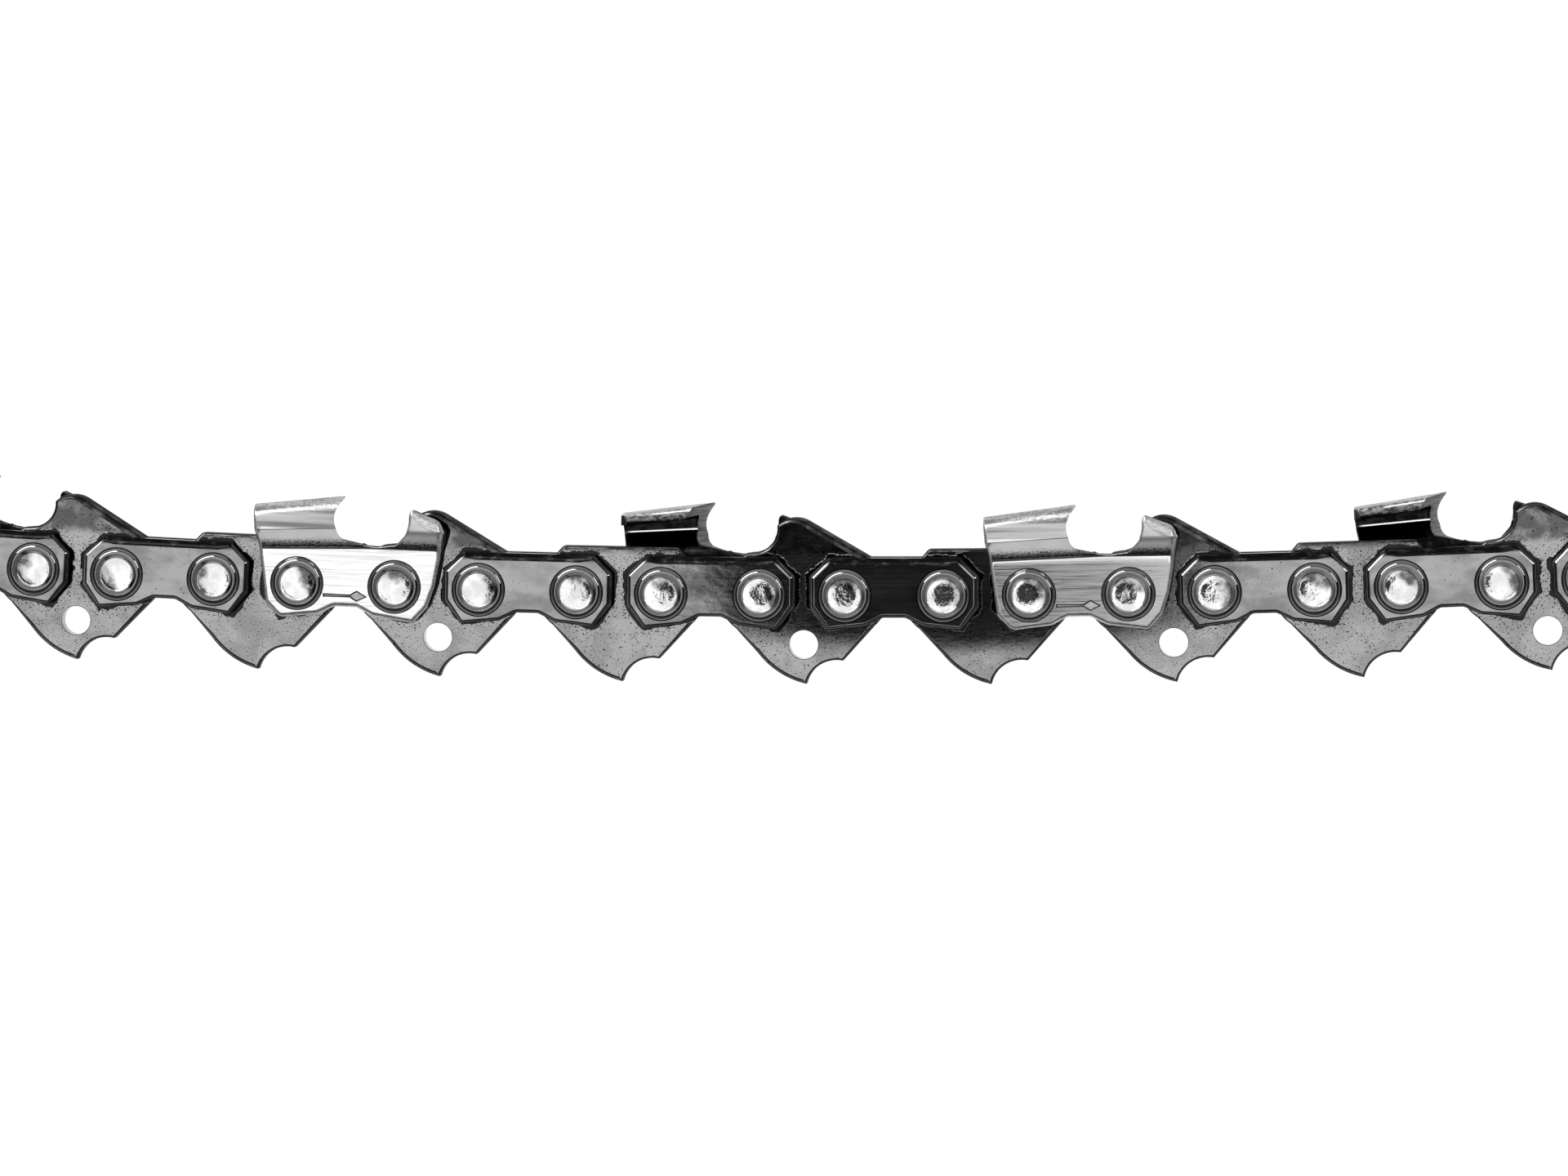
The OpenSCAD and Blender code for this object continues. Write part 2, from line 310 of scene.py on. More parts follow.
def trace(corners, steps, inset=0.0):
    """The outline with its edges moved inward, corner by corner, by inset times the roll there."""
    arcs, edges = steps
    moved = []
    radii = []
    for corner, three in zip(corners, triples([np.array(c[:2], float) for c in corners])):
        radius, roll = corner[2:4]
        d = inset * roll
        moved.append(three[1] + d * miter(*three))
        r = radius - d if turning(*three) > 0 else radius + d
        radii.append(0 if radius <= 0 else max(r, LEAST_R))
    rounded = [corner_arc(*three, r, arc) for three, r, arc in zip(triples(moved), radii, arcs)]
    points = []
    for here, after, edge in zip(rounded, rounded[1:] + rounded[:1], edges):
        points.extend(here)
        points.extend(here[-1] + (after[0] - here[-1]) * j / edge for j in range(1, edge))
    return np.array(points)


def walls(corners, steps):
    """The roll and the wall's finish at every point of the traced outline."""
    roll = []
    finish = []
    for corner, after, arc, edge in zip(corners, corners[1:] + corners[:1], *steps):
        roll += [corner[3]] * (arc + 1)
        roll += [corner[3] + (after[3] - corner[3]) * j / edge for j in range(1, edge)]
        finish += [corner[4] if len(corner) > 4 else OUTER] * (arc + edge)
    return np.array(roll), finish


def circle(x, y, r, n):
    """Clockwise, as a hole's outline."""
    return np.array([(x + r * cos(2 * pi * i / n), y - r * sin(2 * pi * i / n)) for i in range(n)])


def inside(points, loop):
    """Which points lie inside a closed loop."""
    x, y = points[:, 0], points[:, 1]
    result = np.zeros(len(points), bool)
    for (x0, y0), (x1, y1) in zip(loop, np.roll(loop, -1, axis=0)):
        if y0 == y1:
            continue
        crosses = (y0 > y) != (y1 > y)
        result ^= crosses & (x < (x1 - x0) * (y - y0) / (y1 - y0) + x0)
    return result


# Plates

HOLE_SEGMENTS = 64
OIL_HOLE_SEGMENTS = 48
BORDER_GAP = 0.09
CDT_GAP = 1e-7
SHARP_EDGE = 38
NORMAL_WEIGHT = 60

# A ring on the flat this many rolls from the edge keeps the flat's shading flat
SUPPORT = 1.12


class Shell:
    """Collects a plate's points as (x, y, height in the plate) and its faces, each with its finish."""

    def __init__(self):
        self.points = []
        self.faces = []
        self.finish = []

    def ring(self, loop, level):
        start = len(self.points)
        levels = np.broadcast_to(level, (len(loop),))
        self.points.extend((p[0], p[1], z) for p, z in zip(loop, levels))
        return list(range(start, len(self.points)))

    def band(self, upper, lower, finish=None):
        """Quads between two rings. The upper ring is nearer the face."""
        n = len(upper)
        for i in range(n):
            j = (i + 1) % n
            self.faces.append((upper[i], lower[i], lower[j], upper[j]))
        self.finish.extend(finish or [OUTER] * n)

    def hole(self, outline, finish=None):
        """Bands down an outline of (loop, level), as its first and its last ring."""
        rings = [self.ring(loop, level) for loop, level in outline]
        for upper, lower in zip(rings, rings[1:]):
            self.band(upper, lower, finish)
        return rings[0], rings[-1]

    def cap(self, rings, extra, level, up, stretch=1.0, finish=OUTER):
        """Fills the first ring, less the other rings, using extra points inside it."""
        loops = [np.array([self.points[i][:2] for i in ring]) for ring in rings]
        indices = [i for ring in rings for i in ring]
        flat = [p for loop in loops for p in loop]
        edges = []
        start = 0
        for n in map(len, loops):
            edges.extend((start + i, start + (i + 1) % n) for i in range(n))
            start += n

        def filled(points):
            keep = inside(points, loops[0])
            for loop in loops[1:]:
                keep &= ~inside(points, loop)
            return keep

        if len(extra):
            border = np.array(flat)
            for p in extra[filled(extra)]:
                near = np.abs(border - p)
                if np.min(np.hypot(near[:, 0], near[:, 1] * stretch)) >= BORDER_GAP:
                    indices.append(len(self.points))
                    self.points.append((p[0], p[1], level))
                    flat.append(p)
        verts = [Vector((p[0], p[1] * stretch)) for p in flat]
        made, _, triangles, origin, _, _ = delaunay_2d_cdt(verts, edges, [], 0, CDT_GAP)
        corners = np.array([(v[0], v[1] / stretch) for v in made])
        triangles = np.array(triangles)
        for tri in triangles[filled(corners[triangles].mean(axis=1))]:
            picked = [indices[origin[v][0]] for v in tri]
            self.faces.append(tuple(picked if up else picked[::-1]))
            self.finish.append(finish)

    def mesh(self, name, place, mirrored, materials):
        """The mesh in metres, with smooth faces and normals that follow the large faces."""
        turned = -MM if mirrored else MM
        verts = []
        for p in self.points:
            x, y, z = place(*p)
            verts.append((x * MM, y * MM, z * turned))
        raw = bpy.data.meshes.new(name)
        raw.from_pydata(verts, [], [f[::-1] for f in self.faces] if mirrored else self.faces)
        for material in materials.values():
            raw.materials.append(MATERIALS[material])
        slots = {finish: i for i, finish in enumerate(materials)}
        raw.polygons.foreach_set("material_index", [slots.get(finish, 0) for finish in self.finish])
        return weigh(raw, SHARP_EDGE)


def add_object(name, data):
    made = bpy.data.objects.new(name, data)
    bpy.context.scene.collection.objects.link(made)
    return made


def weigh(raw, sharp):
    """A copy of the mesh with its sharp edges split and its normals weighted by face area."""
    raw.validate()
    raw.shade_smooth()
    raw.set_sharp_from_angle(angle=radians(sharp))
    holder = add_object(raw.name, raw)
    modifier = holder.modifiers.new("weighted", "WEIGHTED_NORMAL")
    modifier.keep_sharp = True
    modifier.weight = NORMAL_WEIGHT
    graph = bpy.context.evaluated_depsgraph_get()
    done = bpy.data.meshes.new_from_object(holder.evaluated_get(graph))
    name = raw.name
    bpy.data.objects.remove(holder)
    bpy.data.meshes.remove(raw)
    done.name = name
    return done


# Rounded edges, from the face to the wall: (share of the roll still left, depth in rolls)


def quarter(steps):
    return [(1 - sin(pi / 2 * i / steps), 1 - cos(pi / 2 * i / steps)) for i in range(steps + 1)]


def eased(tilt, steps, first=0):
    """An edge that curves from a first tilt to a last one, in degrees, and breaks off to the wall."""
    angles = [radians(first + (tilt - first) * i / steps) for i in range(steps + 1)]
    width = sin(angles[-1]) - sin(angles[0])
    return [(1 - (sin(a) - sin(angles[0])) / width, (cos(angles[0]) - cos(a)) / width) for a in angles]


def pressed(
    face, back, step, thickness, back_roll, bores, profile, stamps=(), extra=(), stretch=1.0, dark_bands=3
):
    """A pressed plate between level 0, its back, and its thickness, its face.

    The face's edges follow the profile, as wide as each corner says, and the back's are rolled by back_roll.
    A bore is a list of (outline, level) from the face to the back, and a stamp one that ends on a floor.
    Oily grime and painted shade darken the wall and the bands next above it, as many bands in all as the last
    argument says.
    """
    shell = Shell()
    profile = [(SUPPORT, 0.0), *profile]
    steps = plan(face, step)
    roll, finish = walls(face, steps)
    rings = []
    for share, gone in profile:
        level = thickness - gone * roll
        upper = trace(face, steps, share)
        lower = trace([(*c[:3], f[3]) for c, f in zip(back, face)], steps, share)
        rings.append(shell.ring(lower + (upper - lower) * (level / thickness)[:, None], level))
    for share, gone in reversed(quarter(2)):
        level = gone * back_roll
        upper, lower = (trace([(*c[:3], back_roll) for c in side], steps, share) for side in (face, back))
        rings.append(shell.ring(lower + (upper - lower) * (level / thickness), level))
    for i, (upper, lower) in enumerate(zip(rings, rings[1:])):
        # Oily grime and painted shade on the wall and the last bands of the edge
        if i == len(profile) - dark_bands:
            finish = [EDGE if f in (OUTER, ROLLED) else f for f in finish]
        shell.band(upper, lower, finish)
    tops = []
    bottoms = []
    for outline in bores:
        top, bottom = shell.hole(outline)
        tops.append(top)
        bottoms.append(bottom)
    for stamp in stamps:
        top, bottom = shell.hole(stamp, [EDGE] * len(stamp[0][0]))
        shell.cap([bottom[::-1]], [], stamp[-1][1], True, finish=ROLLED)
        tops.append(top)
    shell.cap([rings[0], *tops], extra, thickness, True, stretch)
    shell.cap([rings[-1], *bottoms], extra, 0.0, False, stretch, INNER)
    return shell


def bore(x, y, profile, n=HOLE_SEGMENTS):
    return [(circle(x, y, r, n), level) for r, level in profile]


# Outline of the straps

# The waist, (x, y, radius), is the cutters' too
WAIST = [(-2.5, -2.72, 1.0), (-1.0, -WAIST_DROP, 0.6), (1.0, -WAIST_DROP, 0.6), (2.5, -2.72, 1.0)]
STRAP_FOOT_HALF = 6.0
STRAP_END_LOW = -1.05
STRAP_END_HIGH = 1.7
STRAP_CORNER_R = 0.42
TOP_BAND = 0.6
TOP_BAND_HALF = STRAP_TOP_HALF - 1.2
WAIST_BAND = 0.3


def strap_corners():
    """The strap's outline, from the waist, with the band of painted shade along its top."""
    r = STRAP_CORNER_R
    return [
        *[(*corner, WAIST_BAND) for corner in WAIST],
        (STRAP_FOOT_HALF, -STRAP_BOTTOM, r, WAIST_BAND),
        (STRAP_HALF, STRAP_END_LOW, r, STRAP_BEVEL),
        (STRAP_HALF, STRAP_END_HIGH, r, STRAP_BEVEL),
        (STRAP_TOP_HALF, STRAP_TOP, r, STRAP_BEVEL, INNER),
        (TOP_BAND_HALF, STRAP_TOP, 0, TOP_BAND, INNER),
        (-TOP_BAND_HALF, STRAP_TOP, 0, TOP_BAND, INNER),
        (-STRAP_TOP_HALF, STRAP_TOP, r, STRAP_BEVEL),
        (-STRAP_HALF, STRAP_END_HIGH, r, STRAP_BEVEL),
        (-STRAP_HALF, STRAP_END_LOW, r, STRAP_BEVEL),
        (-STRAP_FOOT_HALF, -STRAP_BOTTOM, r, WAIST_BAND),
    ]


# Materials

PIECE_SHIFT = 40.0


def put(socket, value):
    """Links a field to an input, or sets a plain value on it."""
    if isinstance(value, Field):
        value.tree.links.new(value.socket, socket)
    else:
        socket.default_value = value


def add_node(tree, kind, inputs, output=0, **settings):
    """One output of a new shader node, with its settings and inputs set."""
    made = tree.nodes.new(kind)
    for key, value in settings.items():
        setattr(made, key, value)
    for key, value in inputs.items():
        put(made.inputs[key], value)
    return Field(made.outputs[output])


class Field:
    """A number, a vector or a colour at every point or direction, as a shader node's output."""

    def __init__(self, socket):
        self.socket = socket
        self.tree = socket.id_data

    def math(self, operation, other=0.0):
        return add_node(self.tree, "ShaderNodeMath", {0: self, 1: other}, operation=operation)

    def __add__(self, other):
        return self.math("ADD", other)

    def __sub__(self, other):
        return self.math("SUBTRACT", other)

    def __rsub__(self, other):
        return add_node(self.tree, "ShaderNodeMath", {0: other, 1: self}, operation="SUBTRACT")

    def __mul__(self, other):
        return self.math("MULTIPLY", other)

    def __truediv__(self, other):
        return self.math("DIVIDE", other)

    def vector(self, operation, other=(0, 0, 0), output="Vector"):
        inputs = {0: self, 1: other}
        return add_node(self.tree, "ShaderNodeVectorMath", inputs, output, operation=operation)

    def split(self):
        made = self.tree.nodes.new("ShaderNodeSeparateXYZ")
        self.tree.links.new(self.socket, made.inputs[0])
        return [Field(socket) for socket in made.outputs]

    def ramp(self, low, high, start=0.0, end=1.0):
        """A smooth step from start, at low, to end, at high."""
        inputs = {"Value": self, "From Min": low, "From Max": high, "To Min": start, "To Max": end}
        return add_node(self.tree, "ShaderNodeMapRange", inputs, interpolation_type="SMOOTHSTEP")

    def within(self, low, high, soft):
        """1 between low and high."""
        return self.ramp(low - soft, low + soft) * self.ramp(high - soft, high + soft, 1, 0)

    def blend(self, a, b):
        """Colour a where this is 0, and b where it is 1."""
        return add_node(self.tree, "ShaderNodeMix", {0: self, 6: a, 7: b}, 2, data_type="RGBA")


def join(x, y, z):
    return add_node(x.tree, "ShaderNodeCombineXYZ", {0: x, 1: y, 2: z})


def grey(level, blue=None):
    return (level, level, level if blue is None else blue, 1)


class Steel:
    """A metal material whose look varies over a piece."""

    def __init__(self, name):
        self.material = bpy.data.materials.new(name)
        self.material.use_nodes = True
        self.tree = self.material.node_tree
        self.shader = self.tree.nodes["Principled BSDF"]
        self.shader.inputs["Metallic"].default_value = 1.0
        self.place = add_node(self.tree, "ShaderNodeTexCoord", {}, "Object")

    def xy(self):
        """The piece's own x and y in millimetres."""
        x, y, _ = self.place.split()
        return x * MM_PER_M, y * MM_PER_M

    def noise(self, scale, detail, rough, turn=0.0):
        """Noise of its own for each piece, scaled per millimetre and turned about y, in degrees."""
        where = self.place
        if turn:
            x, y, z = where.split()
            turned = {"Vector": join(x, y, z.math("ABSOLUTE")), "Rotation": (0, radians(turn), 0)}
            where = add_node(self.tree, "ShaderNodeMapping", turned)
        scaled = {"Vector": where, "Scale": [s * MM_PER_M for s in scale]}
        shift = add_node(self.tree, "ShaderNodeObjectInfo", {}, "Random") * PIECE_SHIFT
        where = add_node(self.tree, "ShaderNodeMapping", scaled).vector("ADD", shift)
        inputs = {"Vector": where, "Scale": 1.0, "Detail": detail, "Roughness": rough}
        return add_node(self.tree, "ShaderNodeTexNoise", inputs, "Fac")

    def finish(self, color, roughness, relief=None):
        """Sets the colour, the roughness and the height of the relief in millimetres."""
        put(self.shader.inputs["Base Color"], color)
        put(self.shader.inputs["Roughness"], roughness)
        if relief is not None:
            inputs = {"Strength": 1.0, "Distance": MM, "Height": relief}
            bumped = add_node(self.tree, "ShaderNodeBump", inputs, "Normal")
            put(self.shader.inputs["Normal"], bumped)


# Lines along the cutter, as slope and height over the link's middle. They place the fold's painted shade and
# specks, the painted highlight in the crease, and the rim's painted shade and painted highlight
FOLD_LINE = (0.0361, 3.45)
CREASE_HIGHLIGHT_LINE = (0.0578, 5.656)
RIM_SHADE_LINE = (0.0434, 6.81)
RIM_HIGHLIGHT_LINE = (0.1217, 7.91)


def above(line, x, y):
    """How far the place x, y is over a line, in millimetres."""
    slope, height = line
    return y - x * slope - height


def cutter_chrome(steel):
    """Bright brushed foot, speckled fold with painted shade deepest in it, satin band above and streaked side
    with a sparkling corner.
    """
    x, y = steel.xy()
    brushed = steel.noise((0.2, 9.0, 9.0), 5.0, 0.65)
    streaks = steel.noise((0.06, 1.7, 1.7), 3.0, 0.5)
    grain = steel.noise((2.2, 7.0, 7.0), 3.0, 0.6)
    specks = steel.noise((5.0, 7.0, 7.0), 2.0, 0.6)
    clouds = steel.noise((0.5, 0.9, 0.9), 3.0, 0.5)
    foot = y.ramp(3.3, 3.5, 1, 0)
    rising = above(FOLD_LINE, x.math("MINIMUM", 0.0), y)
    fold = rising.ramp(-0.06, 0.04) * rising.ramp(0.22, 1.1, 1, 0)
    back = x.ramp(1.6, 3.0, 1, 0)
    side = y.ramp(5.0, 5.25) * back
    corner = y.ramp(6.4, 7.0) * back
    color = clouds.ramp(0.3, 0.7).blend(grey(0.68, 0.69), grey(0.76, 0.77))
    worn = streaks.ramp(0.35, 0.65).blend(grey(0.24, 0.245), grey(0.56, 0.57))
    worn = (corner * grain.ramp(0.45, 0.6, 0, 0.8)).blend(worn, grey(0.62, 0.63))
    color = side.blend(color, worn)
    bright = brushed.ramp(0.42, 0.66).blend(grey(0.86, 0.87), grey(0.6, 0.61))
    color = foot.blend(color, bright)
    # Dark specks on the fold and the corner, and painted shade that deepens into the fold
    fold_shade_and_specks = (fold + corner * 0.6) * specks.ramp(0.5, 0.62, 0, 0.85) + fold * fold * 0.85
    color = fold_shade_and_specks.blend(color, grey(0.03))
    turned = y.ramp(3.7, 4.4) * (1.0 - back)
    rough = brushed.ramp(0.3, 0.7, 0.06, 0.14) + side * 0.14 + corner * 0.2 + turned * 0.3
    relief = brushed * 0.0005 + side * streaks * 0.012 + (corner * 1.6 + fold) * grain * 0.009
    steel.finish(color, rough, relief)


def cutter_inside(steel):
    """The cutter's inner side, black from heat and oily grime, with a painted highlight along the crease."""
    x, y = steel.xy()
    clouds = steel.noise((1.2, 1.2, 1.2), 4.0, 0.6)
    color = clouds.ramp(0.4, 0.7).blend(grey(0.004), grey(0.02, 0.021))
    # A painted highlight along the inner crease
    line = above(CREASE_HIGHLIGHT_LINE, x, y).within(0.04, 0.17, 0.03) * x.within(-7.8, -1.2, 0.3)
    steel.finish(line.blend(color, grey(0.9)), 0.2, clouds * 0.01)


def cutter_ground(steel):
    """The ground gullet: grey steel with the file's lines running across the edge."""
    lines = steel.noise((7.0, 7.0, 0.35), 4.0, 0.7, -GRIND_SLANT)
    color = lines.ramp(0.35, 0.65).blend(grey(0.05, 0.051), grey(0.17, 0.172))
    steel.finish(color, 0.42, lines * 0.02)


def cutter_rolled(steel):
    """The foot's and the depth gauge's rolled edges: satin, so that they shade off softly."""
    grain = steel.noise((2.0, 5.0, 5.0), 3.0, 0.6)
    color = grain.ramp(0.35, 0.65).blend(grey(0.4, 0.405), grey(0.58, 0.585))
    steel.finish(color, 0.34, grain * 0.004)


def cutter_rim(steel):
    """The sheared rim of the top plate, mottled grey over a lower part darkened with painted shade, with a
    painted highlight line.
    """
    mottle = steel.noise((2.5, 3.5, 3.5), 4.0, 0.65)
    x, y = steel.xy()
    color = mottle.ramp(0.38, 0.62).blend(grey(0.06, 0.062), grey(0.3, 0.305))
    # Painted shade over the rim's lower part
    black = (above(RIM_SHADE_LINE, x, y) + mottle * 0.2).ramp(-0.1, 0.1, 1, 0)
    color = black.blend(color, grey(0.008))
    # A painted highlight along the rim
    line = above(RIM_HIGHLIGHT_LINE, x, y).within(-0.27, -0.17, 0.03) * x.within(-5.6, -1.0, 0.3)
    steel.finish(line.blend(color, grey(0.95)), 0.36, mottle * 0.04)


def strap_steel(steel):
    """Blued steel under an oily film, with painted shade along its upper edge."""
    _, y = steel.xy()
    clouds = steel.noise((0.25, 0.5, 0.5), 4.0, 0.55)
    streaks = steel.noise((0.15, 5.0, 5.0), 3.0, 0.6)
    pits = steel.noise((4.0, 4.0, 4.0), 2.0, 0.5)
    color = clouds.ramp(0.35, 0.65).blend(grey(0.2, 0.205), grey(0.33, 0.335))
    color = pits.ramp(0.68, 0.74).blend(color, grey(0.03))
    # Painted shade along the upper edge
    color = (y + clouds * 0.3).ramp(2.75, 3.15).blend(color, grey(0.012))
    steel.finish(color, streaks.ramp(0.3, 0.7, 0.02, 0.05), streaks * 0.00015 + clouds * 0.005)


def beside_strap(x, y):
    """Distance in millimetres from the straps that cover a drive link's ends, from the link's coordinates."""
    out = PITCH - x.math("ABSOLUTE")
    distance = None
    corners = [WAIST[2][:2], *[c[:2] for c in strap_corners()[4:8]], (0.0, STRAP_TOP)]
    for a, b in zip(corners, corners[1:]):
        length = hypot(b[0] - a[0], b[1] - a[1])
        nx, ny = (b[1] - a[1]) / length, (a[0] - b[0]) / length
        side = out * nx + y * ny - (a[0] * nx + a[1] * ny)
        distance = side if distance is None else distance.math("MAXIMUM", side)
    return distance


def drive_link_steel(steel):
    """Bare steel under an oily film, which stands dark against the straps, with a painted contact shadow
    there too, and dries to specks beyond them.
    """
    x, y = steel.xy()
    clouds = steel.noise((0.3, 0.3, 0.3), 4.0, 0.6)
    fine = steel.noise((1.0, 5.0, 5.0), 4.0, 0.6)
    ragged = steel.noise((2.2, 2.2, 2.2), 4.0, 0.65)
    specks = steel.noise((7.0, 7.0, 7.0), 1.0, 0.5)
    patches = steel.noise((0.6, 0.6, 0.6), 2.0, 0.5)
    away = beside_strap(x, y)
    reach = patches.ramp(0.4, 0.65) * 0.25 + 0.02
    # Oil next to the straps, darkened further with a painted contact shadow
    oil_and_contact_shadow = (away - reach - ragged * 0.25).ramp(-0.06, 0.04, 1, 0)
    color = clouds.ramp(0.35, 0.65).blend(grey(0.24, 0.243), grey(0.34, 0.343))
    color = fine.ramp(0.5, 0.75, 0, 0.4).blend(color, grey(0.2, 0.203))
    crown = y.ramp(3.2, 4.0, 0, 0.8) * patches.ramp(0.34, 0.55, 0.35, 1)
    color = crown.blend(color, grey(0.05, 0.051))
    dots = (specks - away.ramp(0.3, 1.2, 0.0, 0.06)).ramp(0.59, 0.61)
    color = dots.blend(color, grey(0.012))
    color = oil_and_contact_shadow.blend(color, grey(0.02, 0.021))
    low = (y + 2.0).math("MINIMUM", 0.0)
    relief = fine * 0.00015 + oil_and_contact_shadow * 0.05 + clouds * 0.002 + low * low * -0.0018
    steel.finish(color, fine.ramp(0.3, 0.7, 0.02, 0.05), relief)


def drive_link_top(steel):
    """The rolled top edges of the drive links, dark with painted shade."""
    clouds = steel.noise((0.6, 0.6, 0.6), 3.0, 0.6)
    steel.finish(clouds.ramp(0.4, 0.7).blend(grey(0.02), grey(0.12, 0.122)), 0.16)


def strap_top(steel):
    """The straps' rolled upper edge, dark with painted shade."""
    clouds = steel.noise((0.8, 2.0, 2.0), 3.0, 0.6)
    steel.finish(clouds.ramp(0.5, 0.75).blend(grey(0.008), grey(0.06, 0.061)), 0.2)


def oiled_edge(steel):
    """The narrow walls of the plates, dark with oily grime and painted shade."""
    clouds = steel.noise((0.8, 0.8, 2.0), 3.0, 0.6)
    steel.shader.inputs["Specular Tint"].default_value = grey(0.15)
    steel.finish(clouds.ramp(0.4, 0.7).blend(grey(0.04), grey(0.12, 0.122)), 0.3)


def rivet_steel(steel):
    """Bright spun steel: a cloudy middle, with painted shade towards one side, and a duller ring round it."""
    x, y = steel.xy()
    clouds = steel.noise((0.7, 0.7, 0.7), 4.0, 0.6)
    color = clouds.ramp(0.35, 0.65).blend(grey(0.62, 0.63), grey(0.85, 0.86))
    # Painted shade towards one side of each head, turned with the rivet
    painted_shade = clouds.ramp(0.35, 0.6).blend(grey(0.42, 0.424), grey(0.1, 0.101))
    color = (x + clouds * 2.2).ramp(1.3, 2.2).blend(color, painted_shade)
    ring = (x * x + y * y).math("SQRT").ramp(1.5, 1.66)
    steel.finish(ring.blend(color, grey(0.2, 0.202)), 0.045, clouds * 0.018)


LOOKS = [cutter_chrome, cutter_inside, cutter_ground, cutter_rim, cutter_rolled]
LOOKS += [strap_steel, drive_link_steel, drive_link_top, strap_top, oiled_edge, rivet_steel]
MATERIALS = {}
for look in LOOKS:
    steel = Steel(look.__name__)
    look(steel)
    MATERIALS[look.__name__] = steel.material


def piece(name, mesh, matrix, body, node_name):
    """Stands a mesh in its link, in place of the CAD node."""
    made = add_object(name, mesh)
    made.matrix_world = matrix
    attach(made, body)
    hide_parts(node_name)


# Straps

SEAT_LAND = 0.08
SEAT_EDGE = 0.02
SEAT_BREAK = 0.04
SEAT_TAPER = 0.01
STRAP_STEP = 0.5
STRAP_EDGE = eased(40, 5, 12)
BACK_ROLL = 0.04


def seat_bores():
    """Rivet holes with the seat that each head is spun into."""
    floor = PLATE_T - SEAT_DEPTH
    profile = [
        (SEAT_R + SEAT_LAND, PLATE_T),
        (SEAT_R + SEAT_EDGE, PLATE_T),
        (SEAT_R, PLATE_T - SEAT_BREAK),
        (SEAT_R - SEAT_TAPER, floor),
        (SHANK_R, floor),
        (SHANK_R, 0.0),
        (SHANK_R + SEAT_LAND, 0.0),
    ]
    return [bore(s * SIDE_SPAN / 2, 0, profile) for s in (-1, 1)]


def flat_place(x, y, z):
    return x, y, z + PLATE_IN


def strap_mesh(mirrored):
    corners = strap_corners()
    shell = pressed(corners, corners, STRAP_STEP, PLATE_T, BACK_ROLL, seat_bores(), STRAP_EDGE)
    return shell.mesh("strap", flat_place, mirrored, STRAP_FINISHES)


# Drive links

TOP_ROLL = 0.6
RIM_END_ROLL = 0.2
VALLEY_ROLL = 0.3
TOP_END_ROLL = 0.24
END_ROLL = 0.12
TANG_ROLL = 0.32
EDGE_ROLL = 0.19
SHOULDER_SLOPE = 30
TANG_STEPS = 14
END_STEPS = 12
HOLLOW_STEPS = 10
TOP_CORNER_R = 0.4
HOLLOW_FALL = 0.1
DRIVE_STEP = 0.7
DRIVE_EDGE = eased(42, 6, 8)
DRIVE_BACK_ROLL = 0.06
HOLE_LAND = 0.14
HOLE_BREAK = 0.05


def circles_meet(c0, r0, c1, r1, sign):
    """Where two circles meet, left (1) or right (-1) of the way from the first centre to the second."""
    d = hypot(c1[0] - c0[0], c1[1] - c0[1])
    a = (r0 * r0 - r1 * r1 + d * d) / (2 * d)
    h = sqrt(max(0.0, r0 * r0 - a * a))
    ux, uy = (c1[0] - c0[0]) / d, (c1[1] - c0[1]) / d
    return c0[0] + a * ux - sign * h * uy, c0[1] + a * uy + sign * h * ux


def line_circle(p, direction, c, r, sign):
    """Where the line through p meets a circle, at the larger or smaller distance along it."""
    dx, dy = direction
    fx, fy = p[0] - c[0], p[1] - c[1]
    b = fx * dx + fy * dy
    root = sqrt(max(0.0, b * b - (fx * fx + fy * fy - r * r)))
    t = -b + sign * root
    return p[0] + t * dx, p[1] + t * dy


def arc_points(c, r, start, end, n, clockwise=False):
    """Points along a circle from one point to another, both included."""
    a0 = atan2(start[1] - c[1], start[0] - c[0])
    a1 = atan2(end[1] - c[1], end[0] - c[0])
    sweep = (a1 - a0) % (2 * pi)
    if clockwise:
        sweep -= 2 * pi
    angles = [a0 + sweep * i / n for i in range(n + 1)]
    return [(c[0] + r * cos(a), c[1] + r * sin(a)) for a in angles]


def faded(points, roll, last_roll=None, finish=OUTER):
    """Corners on the points of a curve, whose roll goes evenly from one width to another."""
    last = roll if last_roll is None else last_roll
    steps = max(1, len(points) - 1)
    return [(x, y, 0, roll + (last - roll) * (i / steps), finish) for i, (x, y) in enumerate(points)]


def hump():
    """The bumper's ramp, its rounded peak and the hollow behind it."""
    slope = radians(RAMP_SLOPE)
    outward = (sin(slope), cos(slope))
    peak_y = BUMPER_H - BUMPER_PEAK_R
    rise = BUMPER_PEAK_R / outward[1] + peak_y - RAMP_END[1]
    peak = (RAMP_END[0] - rise / tan(slope), peak_y)
    ramp_top = (peak[0] + BUMPER_PEAK_R * outward[0], peak[1] + BUMPER_PEAK_R * outward[1])
    hollow = (peak[0] - BUMPER_PEAK_R - HOLLOW_BACK, HOLLOW_FLOOR + HOLLOW_R)
    rim = circles_meet(peak, BUMPER_PEAK_R, hollow, HOLLOW_R, -1)
    crest = arc_points(peak, BUMPER_PEAK_R, ramp_top, rim, TANG_STEPS)
    valley = arc_points(hollow, HOLLOW_R, rim, (hollow[0], HOLLOW_FLOOR), HOLLOW_STEPS, clockwise=True)[1:]
    return [
        *faded([RAMP_END], TOP_ROLL, finish=ROLLED),
        *faded(crest, TOP_ROLL, RIM_END_ROLL, ROLLED),
        *faded(valley, RIM_END_ROLL, VALLEY_ROLL, ROLLED),
    ]


